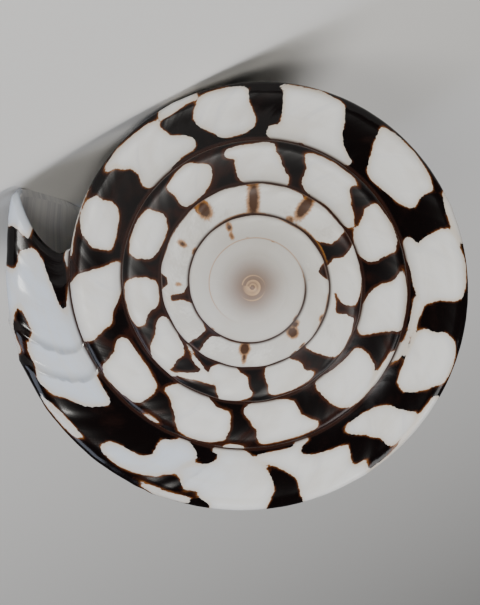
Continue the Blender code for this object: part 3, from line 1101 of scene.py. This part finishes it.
        mesh = skin.mesh(NODE + "_surface", self.lay_inside(skin.points()))
        shell = bpy.data.objects.new(NODE + "_surface", mesh)
        bpy.context.scene.collection.objects.link(shell)
        triangles = sum(len(item.vertices) - 2 for item in mesh.polygons)
        log.info("surface of %d triangles", triangles)
        return shell

    def build_ramps(self, skin: Skin, stages: np.ndarray,
                    arc: np.ndarray) -> tuple[np.ndarray, dict[str, np.ndarray]]:
        """Build the ramps of every whorl, and the apex that they leave open.

        The inner suture of a turn is the outer suture of the turn before. Growth lines follow
        the outline of the lip, so growth is the angle less the lip's lead at that place.

        Args:
            skin: the surface that is built.
            stages: growth stages of the columns.
            arc: distance grown at each column.

        Returns:
            Indices of the ramps' points, and their painted values.
        """
        turn = self.detail.columns
        angle, radius, height, share = self.ramp(stages, self.detail)
        stage = stages[:, None]
        growth = angle - self.lip.lead(share)
        grown = np.interp(growth, stages, arc)
        lift = self.relief.height(growth, share, grown)
        lift = lift * smooth((radius - self.coil.worn_radius) / self.coil.stepped_radius)
        lift[:, 0] = 0.0
        outline = self.raise_relief(angle, radius, height, lift)
        ramp = np.zeros(share.shape, dtype=int)
        ramp[:, 1:] = skin.add(outline[:, 1:])
        ramp[:turn, 0] = skin.add(outline[:turn, 0])
        ramp[turn:, 0] = ramp[:-turn, -1]
        width = self.coil.width(stage) + 0.0 * share
        wall = np.hypot(radius - radius[:, -1:], height - height[:, -1:])
        covered = stage < self.lip.stage - TURN
        paint = {
            "u": grown, "v": share * width, "seam_mm": share * width,
            "wall_mm": np.where(covered, wall, FAR["wall_mm"]), "apex": radius,
            "pale_mm": self.markings.ramp(angle, share, radius, width),
            "rust": self.markings.rust(angle, share, radius, width),
            "age": (self.lip.stage - growth) / TURN, "shade": self.relief.shade(growth),
        }
        skin.cover(ramp, paint)
        self.build_apex(skin, ramp, outline, radius, paint)
        return ramp, paint

    def build_flank(self, skin: Skin, stages: np.ndarray, arc: np.ndarray,
                    ramp: np.ndarray) -> tuple[np.ndarray, dict[str, np.ndarray]]:
        """Build the last turn's flank, whose markings lean back along the growth lines.

        Args:
            skin: the surface that is built.
            stages: growth stages of all the columns.
            arc: distance grown at each column.
            ramp: indices of the ramps' points.

        Returns:
            Indices of the flank's points, and their painted values.
        """
        turn = self.detail.columns
        last = stages[-turn - 1:]
        stage = last[:, None]
        angle, radius, height, depth = self.flank(last, self.detail)
        down = self.detail.down()[None, :]
        shoulder_angle = angle - self.lip.fall_back(down, 0.0)
        growth = shoulder_angle - self.lip.reach
        grown = np.interp(growth, stages, arc)
        lift = self.relief.height(growth, 1.0 + depth / self.relief.flank_unit, grown)
        lift = lift * self.relief.flank_share(depth, stage - last[0], self.coil.length)
        outline = self.raise_relief(angle, radius, height, lift)
        flank = np.zeros(depth.shape, dtype=int)
        flank[:, 1:] = skin.add(outline[:, 1:])
        flank[:, 0] = ramp[-turn - 1:, -1]
        callus = smooth((last[0] + self.lip.callus_reach - stage) / self.lip.callus_fade)
        callus = Place.CALLUS.value * callus * smooth(depth / self.lip.callus_edge)
        paint = {
            "u": grown, "v": self.coil.width(stage) + depth,
            "pale_mm": self.markings.flank(shoulder_angle, depth, radius),
            "inside": callus, **FAR,
            "age": (self.lip.stage - growth) / TURN, "shade": self.relief.shade(growth),
        }
        skin.cover(flank, paint)
        return flank, paint

    def build_hollow(self, skin: Skin, back: np.ndarray, back_arc: np.ndarray,
                     flank: np.ndarray) -> tuple[np.ndarray, np.ndarray]:
        """Build the inside of the outer wall and of the ramp, and the inner wall of the slit.

        Args:
            skin: the surface that is built.
            back: growth stages of the columns, from the lip back.
            back_arc: distance grown at those columns.
            flank: indices of the flank's points.

        Returns:
            Indices of the outer and the inner surface.
        """
        outer_points, inner_points, outer_depth, inner_depth = self.hollow(back, self.detail)
        inner = np.zeros(inner_depth.shape, dtype=int)
        inner[1:] = skin.add(inner_points[1:])
        inner[0] = flank[0, self.detail.corner_rows:]
        outer = np.zeros(outer_depth.shape, dtype=int)
        outer[:, 1:] = skin.add(outer_points[:, 1:])
        outer[:, 0] = inner[:, 0]
        for grid, depth in ((outer, outer_depth), (inner[::-1], inner_depth[::-1])):
            grown = back_arc if grid is outer else back_arc[::-1]
            skin.cover(grid, {
                "u": grown + 0.0 * depth, "v": depth, "pale_mm": PLAIN_WHITE,
                "inside": Place.INSIDE.value, **FAR})
        return outer, inner

    def build_apex(self, skin: Skin, ramp: np.ndarray, outline: np.ndarray, radius: np.ndarray,
                   paint: dict[str, np.ndarray]) -> None:
        """Close the worn apex with rings that shrink evenly from the first suture.

        The height follows the even spire, plus the rim's own step faded towards the middle,
        and a shallow spiral groove marks the first tiny turns.

        Args:
            skin: the surface that is built.
            ramp: indices of the ramps' points.
            outline: the ramps' points.
            radius: the ramps' radii.
            paint: the ramps' painted values.
        """
        coil, apex = self.coil, self.apex
        turn = self.detail.columns
        rings = self.detail.apex_rings
        rim = ramp[:turn, 0]
        rim_points = outline[:turn, 0]
        rim_r = radius[:turn, 0]
        angle = np.degrees(np.arctan2(rim_points[:, 1], -rim_points[:, 0]))
        part = (np.arange(1, rings) / rings)[None, :]
        ring_r = rim_r[:, None] * part
        step = (rim_points[:, 2] - coil.even_height(rim_r))[:, None] * part ** apex.step_power
        groove = self.first_turns(angle[:, None], ring_r)
        dip = apex.dome_height * np.exp(-(ring_r / apex.dome_radius) ** 2)
        height = coil.even_height(ring_r) - dip + step
        height = height - apex.groove_depth * np.exp(-(groove / apex.groove_width) ** 2)
        points = np.stack((rim_points[:, 0:1] * part, rim_points[:, 1:2] * part, height), -1)
        grid = np.zeros((turn + 1, rings), dtype=int)
        grid[:turn, :-1] = skin.add(points)
        grid[:turn, -1] = rim
        grid[turn] = grid[0]
        values = np.concatenate((groove, np.full((turn, 1), paint["seam_mm"][0, 0])), 1)
        values = np.concatenate((values, values[:1]))
        every_r = np.concatenate((ring_r, rim_r[:, None]), 1)
        every_r = np.concatenate((every_r, every_r[:1]))
        around = np.linspace(0.0, math.tau, turn + 1)[:, None]
        skin.cover(grid, {
            "u": every_r * np.cos(around), "v": every_r * np.sin(around),
            "age": float(coil.turns), "pale_mm": PLAIN_WHITE,
            "seam_mm": np.maximum(values, 0.02), "wall_mm": FAR["wall_mm"], "apex": every_r})
        plain = {"u": 0.0, "v": 0.0, "pale_mm": PLAIN_WHITE, "seam_mm": 0.3,
                 "wall_mm": FAR["wall_mm"], "apex": 0.1, "age": float(coil.turns)}
        centre = skin.add(np.array([[0.0, 0.0, -apex.dome_height]]))[0]
        skin.fan(centre, grid[::-1, 0], plain)
        plain["apex"] = float(rim_r[-1])
        skin.fan(rim[-1], ramp[0], plain)

    def first_turns(self, angle: np.ndarray, radius: np.ndarray) -> np.ndarray:
        """Distance to a spiral whose radius shrinks by the same ratio with each turn inwards.

        Args:
            angle: angles of the points in degrees.
            radius: radii of the points.

        Returns:
            Millimetres to the nearest of its turns.
        """
        apex = self.apex
        turns = np.mod(angle, TURN) / TURN
        gap = np.full(np.broadcast(angle, radius).shape, FAR["seam_mm"])
        for ring in range(apex.spiral_turns):
            spiral = apex.spiral_radius * apex.spiral_ratio ** (ring - turns + 0.5)
            spiral = np.minimum(spiral, apex.spiral_radius * apex.spiral_end)
            gap = np.minimum(gap, np.abs(radius - spiral))
        return gap

    def build_lip_edge(self, skin: Skin, ramp: np.ndarray, flank: np.ndarray, outer: np.ndarray,
                       ramp_paint: dict[str, np.ndarray],
                       flank_paint: dict[str, np.ndarray]) -> np.ndarray:
        """Round the edge of the lip between its outer and inner surfaces.

        The rows between are mixed from both sides, and pushed forward by a half sine. The
        outer side's markings run on over the edge, and the lining starts at its inner row.

        Args:
            skin: the surface that is built.
            ramp: indices of the ramps' points.
            flank: indices of the flank's points.
            outer: indices of the hollow's outer points.
            ramp_paint: painted values of the ramps.
            flank_paint: painted values of the flank.

        Returns:
            Indices of the edge's rows.
        """
        edge = np.concatenate((ramp[-1], flank[-1, 1:]))
        inside = outer[0]
        every = skin.points()
        first, second = every[edge], every[inside]
        steps = self.detail.corner_rows - 1
        grid = np.zeros((steps + 2, len(edge)), dtype=int)
        grid[0], grid[-1] = edge, inside
        ahead = np.stack((first[:, 1], -first[:, 0], 0.0 * first[:, 0]), -1)
        ahead = ahead / (np.linalg.norm(ahead, axis=1, keepdims=True) + 1e-9)
        gap = np.linalg.norm(first - second, axis=1, keepdims=True)
        for step in range(1, steps + 1):
            part = step / (steps + 1)
            bulge = self.lip.edge_bulge * gap * math.sin(math.pi * part)
            row = first + (second - first) * part + ahead * bulge
            grid[step, 1:] = skin.add(row[1:])
            grid[step, 0] = flank[0, step]
        paint = {name: np.concatenate((ramp_paint[name][-1], flank_paint[name][-1, 1:]))
                 for name in ("u", "v", "pale_mm")}
        lined = np.zeros(grid.shape)
        lined[-1] = Place.INSIDE.value
        lined[1:, ramp.shape[1] + 2:] = Place.INSIDE.value
        skin.cover(grid, {**paint, "inside": lined, **FAR})
        return grid

    def build_ends(self, skin: Skin, flank: np.ndarray, outer: np.ndarray, inner: np.ndarray,
                   edge: np.ndarray, plain: dict[str, float]) -> None:
        """Close the blind end of the hollow and the end of the tip.

        Args:
            skin: the surface that is built.
            flank: indices of the flank's points.
            outer: indices of the hollow's outer points.
            inner: indices of the hollow's inner points.
            edge: indices of the lip edge's rows.
            plain: painted values.
        """
        skip = outer.shape[1] - inner.shape[1]
        low = 3 * max(1, inner.shape[1] // 20)
        skin.cover(np.stack((outer[-1, skip + low:], inner[-1, low:])), plain)
        pocket = np.concatenate((outer[-1, :skip + low + 1], inner[-1, low:0:-1], outer[-1, :1]))
        hub = skin.add(skin.points()[pocket[:-1]].mean(0)[None])[0]
        skin.fan(hub, pocket[::-1], plain)

        rim = flank[:, -1]
        tip = skin.add(np.array([[0.0, 0.0, -self.coil.length]]))[0]
        skin.fan(tip, rim[:-1], plain)
        skin.fan(rim[-2], np.concatenate((edge[:, -1], rim[:1])), plain)
        skin.fan(tip, rim[[-2, 0]], plain)


@dataclass(frozen=True)
class Grain:
    """A noise on the growth map, with its grains in a millimetre and how they are drawn out."""

    per_mm: float
    along: float = 1.0
    across: float = 1.0
    detail: float = 3.0
    roughness: float = 0.6


@dataclass(frozen=True)
class Veil:
    """A colour laid over those before it, where a value has passed from low to high."""

    reads: str
    low: float
    high: float
    colour: str
    strength: float = 1.0
    within: str = "everywhere"


@dataclass(frozen=True)
class MarbledFinish:
    """Aragonite of a marbled cone, grown in layers and naturally polished.

    It is dense and porcelain-like, so it has a tight gloss with soft edges and a faint glow in
    the white. The pigment is in the outer layer, almost black, with brown and tan fringes. The
    patches' edges along the growth lines are toothed at a few tenths of a millimetre, where the
    mantle started and stopped, and those round the turn are smooth. The older turns are worn,
    so they are duller, greyer and spotted with rust, down to the bare mauve-brown apex. A
    veil's share of its colour rises smoothly from its low to its high value, which for the
    fields that end in mm are millimetres, for age are turns behind the lip, and for apex are
    millimetres from the axis.
    """

    ground: str = "#070303"
    ior: float = 1.53
    specular: float = 0.22
    gloss: float = 0.15
    dull: float = 0.42
    gloss_until: float = 0.7
    dull_from: float = 2.6
    bump: float = 0.12
    bump_height: float = 0.00005
    glow: float = 0.08
    glow_reach: float = 0.0008
    glow_by_colour: tuple[float, float, float] = (1.0, 0.8, 0.6)
    teeth_mm: float = 0.42
    crumb_mm: float = 0.14
    grains: tuple[tuple[str, Grain], ...] = (
        ("teeth", Grain(1.5, along=0.20, detail=4.0)), ("crumb", Grain(3.6)),
        ("streak", Grain(1.1, across=0.10, detail=4.0, roughness=0.65)),
        ("spiral", Grain(1.3, along=0.05)), ("cloud", Grain(0.30, detail=3.0, roughness=0.5)),
        ("patch", Grain(0.42, detail=2.0)), ("growth", Grain(2.4, across=0.05)),
        ("lining", Grain(0.8, along=0.006)),
    )
    masks: tuple[tuple[str, str, float, float], ...] = (
        ("white", "edge", -0.03, 0.04), ("fringed", "patch", 0.42, 0.52),
        ("stepped", "age", 3.62, 3.48), ("walled", "age", 4.62, 4.48),
        ("old", "age", 0.85, 1.05), ("worn", "age", 4.25, 4.05), ("early", "apex", 1.45, 1.25),
        ("inner", "inside", 0.35, 0.60),
    )
    veils: tuple[Veil, ...] = (
        Veil("cloud", 0.48, 0.64, "#2a120b", 0.75, "old"),
        Veil("cloud", 0.56, 0.70, "#150a08", 0.8),
        Veil("edge", -0.36, -0.10, "#3c1d0e", 0.7, "old"),
        Veil("edge", -0.24, -0.12, "#2c140a", 0.9, "fringed"),
        Veil("edge", -0.12, -0.03, "#74481f", 0.85, "fringed"),
        Veil("edge", -0.03, 0.04, "#d3d2cf"),
        # Bluish white on the newest part: partly the thin fresh shell's translucency, partly
        # painted cool light on that side
        Veil("age", 0.30, 0.18, "#bcc4d0", 0.9, "white"),
        # Painted shadow: grey on the white just past each growth halt
        Veil("shade", 0.10, 1.0, "#858a92", 0.7, "white"),
        # Grey halo inside each white patch's edge: partly dark pigment showing through, partly
        # painted shade
        Veil("pale_mm", 0.9, 0.05, "#b4b4b4", 0.45, "white"),
        Veil("pale_mm", 0.34, 0.02, "#bfae94", 0.55, "white"),
        # Painted shade: soft grey on the white beside the inner suture and at the foot of the
        # covering wall
        Veil("seam_mm", 1.3, 0.1, "#a8a6a2", 0.5, "white"),
        Veil("wall_mm", 1.1, 0.1, "#a39d96", 0.5, "white"),
        Veil("streak", 0.50, 0.78, "#b9bbc0", 0.45, "white"),
        Veil("spiral", 0.48, 0.75, "#c6c3ba", 0.30, "white"),
        Veil("age", 1.9, 2.4, "#c9c7c1", 0.7, "white"),
        Veil("cloud", 0.45, 0.68, "#bdb6ab", 0.35, "white"),
        Veil("mottle", 2.7, 3.3, "#9f9a92", 0.32, "white"),
        Veil("apex", 5.2, 1.6, "#a9a29c", 0.3),
        Veil("spot", 0.18, 0.62, "#9a6628", 0.8),
        Veil("spot", 0.50, 1.05, "#321a0c", 0.94),
        Veil("wall_mm", 0.34, 0.12, "#8f8079", 0.40, "walled"),
        Veil("seam_mm", 0.14, 0.04, "#a9713e", 0.55, "worn"),
        Veil("seam_mm", 0.38, 0.16, "#33201a", 0.6, "stepped"),
        Veil("seam_mm", 0.22, 0.10, "#22100c", 0.9, "stepped"),
        Veil("wall_mm", 0.14, 0.03, "#2a120d", 0.9, "walled"),
        Veil("apex", 3.6, 0.4, "#6f5749", 0.92),
        Veil("seam_mm", 0.10, 0.02, "#b99a78", 0.85, "early"),
        Veil("inside", 0.35, 0.60, "#f4f3f2"),
        Veil("lining", 0.36, 0.66, "#cbcbd0", 0.6, "inner"),
    )

    def build(self) -> bpy.types.Material:
        """Build the node material.

        Returns:
            The material.
        """
        material = bpy.data.materials.new("marbled_cone_aragonite")
        material.use_nodes = True
        tree = material.node_tree
        tree.nodes.clear()
        value = {
            name: add_node(tree, "ShaderNodeAttribute", {}, attribute_name=name).outputs["Fac"]
            for name in Skin.fields}
        growth = add_node(tree, "ShaderNodeUVMap", {}, uv_map="growth_mm")
        for name, grain in self.grains:
            drawn = add_node(tree, "ShaderNodeVectorMath",
                             {0: growth, 1: (grain.along, grain.across, 1.0)},
                             operation="MULTIPLY")
            value[name] = add_node(tree, "ShaderNodeTexNoise", {
                "Vector": drawn, "Scale": grain.per_mm, "Detail": grain.detail,
                "Roughness": grain.roughness})

        # Noise is about one half, so half of each share is taken off again
        shaken = (("edge", "pale_mm", (("teeth", self.teeth_mm), ("crumb", self.crumb_mm))),
                  ("spot", "rust", (("crumb", 0.6),)),
                  ("mottle", "age", (("crumb", 1.6), ("patch", 2.4))))
        for name, start, shares in shaken:
            value[name] = value[start]
            for noise, share in shares:
                centred = add_node(tree, "ShaderNodeMath", {0: value[noise], 1: -0.5},
                                   operation="ADD")
                value[name] = add_node(tree, "ShaderNodeMath",
                                       {0: centred, 1: share, 2: value[name]},
                                       operation="MULTIPLY_ADD")
        for name, reads, low, high in self.masks:
            value[name] = add_node(
                tree, "ShaderNodeMapRange",
                {"Value": value[reads], "From Min": low, "From Max": high},
                interpolation_type="SMOOTHSTEP")

        colour: bpy.types.Node | str = self.ground
        for veil in self.veils:
            mask = add_node(
                tree, "ShaderNodeMapRange",
                {"Value": value[veil.reads], "From Min": veil.low, "From Max": veil.high,
                 "To Max": veil.strength},
                interpolation_type="SMOOTHSTEP")
            if veil.within != "everywhere":
                mask = add_node(tree, "ShaderNodeMath", {0: mask, 1: value[veil.within]},
                                operation="MULTIPLY")
            colour = add_node(tree, "ShaderNodeMix", {0: mask, 6: colour, 7: veil.colour},
                              data_type="RGBA").outputs[2]

        rough = add_node(tree, "ShaderNodeMapRange",
                         {"Value": value["age"], "From Min": self.gloss_until,
                          "From Max": self.dull_from, "To Min": self.gloss,
                          "To Max": self.dull})
        bump = add_node(tree, "ShaderNodeBump",
                        {"Height": value["growth"], "Strength": self.bump,
                         "Distance": self.bump_height})
        shader = add_node(tree, "ShaderNodeBsdfPrincipled", {
            "Base Color": colour, "Roughness": rough, "Normal": bump, "IOR": self.ior,
            "Specular IOR Level": self.specular,
            "Subsurface Weight": self.glow, "Subsurface Scale": self.glow_reach,
            "Subsurface Radius": self.glow_by_colour})
        add_node(tree, "ShaderNodeOutputMaterial", {"Surface": shader})
        return material


def linear(code: str) -> tuple[float, float, float, float]:
    """Turn an sRGB hex colour into linear red, green, blue and alpha.

    Args:
        code: a hash sign and six hex digits.

    Returns:
        Four numbers from 0 to 1.
    """
    parts = [int(code[k:k + 2], 16) / 255.0 for k in (1, 3, 5)]
    bent = [c / 12.92 if c <= 0.04045 else ((c + 0.055) / 1.055) ** 2.4 for c in parts]
    return bent[0], bent[1], bent[2], 1.0


def add_node(tree: bpy.types.NodeTree, kind: str, inputs: dict, **settings) -> bpy.types.Node:
    """Add a node.

    Args:
        tree: the node tree.
        kind: the node's type.
        inputs: for each input a number, a vector, a hex colour, a socket, or a node whose
            first output feeds it.
        settings: properties of the node.

    Returns:
        The node.
    """
    node = tree.nodes.new(kind)
    for name, value in settings.items():
        setattr(node, name, value)
    for name, value in inputs.items():
        if isinstance(value, bpy.types.Node):
            value = value.outputs[0]
        if isinstance(value, bpy.types.NodeSocket):
            tree.links.new(value, node.inputs[name])
        else:
            node.inputs[name].default_value = linear(value) if isinstance(value, str) else value
    return node


@dataclass(frozen=True)
class Studio:
    """Pale floor, soft lights and the camera that faces the spire."""

    floor: str = "#dcdad6"
    air: str = "#ffffff"
    air_strength: float = 0.09
    middle_height: float = 0.018
    lights: tuple[tuple[str, tuple[float, float, float], float, float, str], ...] = (
        ("key", (0.05, -0.66, 0.18), 0.12, 3.5, "#fffdf8"),
        ("fill", (0.62, -0.20, 0.20), 0.35, 2.1, "#dfe9ff"),
        ("top", (-0.16, -0.16, 0.64), 0.40, 3.3, "#ffffff"),
    )
    distance: float = 425.0
    lean: float = 5.5
    sway: float = 0.14
    pixel: float = 0.085
    apex_pixel: tuple[float, float] = (252.5, 287.5)
    picture: tuple[float, float] = (480.0, 605.0)
    sensor: float = 36.0
    floor_half: float = 6.0
    floor_rough: float = 0.9

    def build(self, shell: ConeSurface) -> None:
        """Make the floor, the lights and the camera.

        Args:
            shell: the surface that the camera faces.
        """
        self.build_floor()
        for name, place, size, power, colour in self.lights:
            self.build_light(name, np.array(place), size, power, colour)
        world = bpy.data.worlds.new("studio_air")
        world.use_nodes = True
        sky = world.node_tree.nodes["Background"]
        sky.inputs["Color"].default_value = linear(self.air)
        sky.inputs["Strength"].default_value = self.air_strength
        bpy.context.scene.world = world
        self.build_camera(shell)

    def build_floor(self) -> None:
        """Lay a wide flat floor."""
        mesh = bpy.data.meshes.new("studio_floor")
        half = self.floor_half
        mesh.from_pydata([(-half, -half, 0), (half, -half, 0), (half, half, 0), (-half, half, 0)],
                         [], [(0, 1, 2, 3)])
        material = bpy.data.materials.new("matte_board")
        material.use_nodes = True
        shader = material.node_tree.nodes["Principled BSDF"]
        shader.inputs["Base Color"].default_value = linear(self.floor)
        shader.inputs["Roughness"].default_value = self.floor_rough
        mesh.materials.append(material)
        floor = bpy.data.objects.new("studio_floor", mesh)
        bpy.context.scene.collection.objects.link(floor)

    def build_light(self, name: str, place: np.ndarray, size: float, power: float,
                    colour: str) -> None:
        """Hang a square soft light that faces the shell.

        Args:
            name: name of the light.
            place: its place in metres, from the middle of the shell.
            size: length of its side in metres.
            power: its power in watts.
            colour: its sRGB hex colour.
        """
        light = bpy.data.lights.new(name, "AREA")
        light.shape = "SQUARE"
        light.size = size
        light.energy = power
        light.color = linear(colour)[:3]
        lamp = bpy.data.objects.new(name, light)
        bpy.context.scene.collection.objects.link(lamp)
        back = place / np.linalg.norm(place)
        place = place + np.array((0.0, 0.0, self.middle_height))
        side = np.cross((0.0, 0.0, 1.0), back)
        side = side / np.linalg.norm(side)
        up = np.cross(back, side)
        lamp.matrix_world = axes_matrix(side, up, back, place)

    def build_camera(self, shell: ConeSurface) -> None:
        """Place the camera over the apex, leaning towards the top of the picture.

        Args:
            shell: the surface, for its turn and place.
        """
        lean, sway = math.radians(-self.lean), math.radians(self.sway)
        right = np.array((math.cos(sway), 0.0, -math.sin(sway)))
        up = np.array((math.sin(lean) * math.sin(sway), math.cos(lean),
                       math.sin(lean) * math.cos(sway)))
        back = np.cross(right, up)
        off = [0.5 * size - spot for size, spot in zip(self.picture, self.apex_pixel)]
        place = back * self.distance
        aim = right * off[0] * self.pixel - up * off[1] * self.pixel
        back = place - aim
        back = back / np.linalg.norm(back)
        right = np.cross(up, back)
        right = right / np.linalg.norm(right)
        up = np.cross(back, right)
        turned = shell.turned
        data = bpy.data.cameras.new("camera")
        data.sensor_width = self.sensor
        data.lens = self.sensor * self.distance / (self.picture[1] * self.pixel)
        data.clip_start = 0.01
        data.clip_end = 50.0
        camera = bpy.data.objects.new("camera", data)
        bpy.context.scene.collection.objects.link(camera)
        camera.matrix_world = axes_matrix(turned @ right, turned @ up, turned @ back,
                                          shell.lay(place))
        bpy.context.scene.camera = camera


def axes_matrix(right: np.ndarray, up: np.ndarray, back: np.ndarray,
                place: np.ndarray) -> Matrix:
    """World matrix from three axes and a place.

    Args:
        right: direction of the object's x axis.
        up: direction of its y axis.
        back: direction of its z axis.
        place: its place in metres.

    Returns:
        The matrix.
    """
    rows = [[right[k], up[k], back[k], place[k]] for k in range(3)]
    return Matrix([*rows, [0.0, 0.0, 0.0, 1.0]])


def main() -> None:
    """Load the frame, build the shell and the studio, and log the fit and the triangle count."""
    logging.basicConfig(level=logging.INFO, format="%(name)s: %(message)s")
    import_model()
    shell = ConeSurface(Coil(), Lip(), Apex(), FINE_DETAIL, Relief(), FlankNet())
    piece = shell.build()
    piece.data.materials.append(MarbledFinish().build())
    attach(piece, "root")
    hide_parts(NODE)
    log.info("built %s", piece.name)
    Studio().build(shell)


if __name__ == "__main__":
    main()
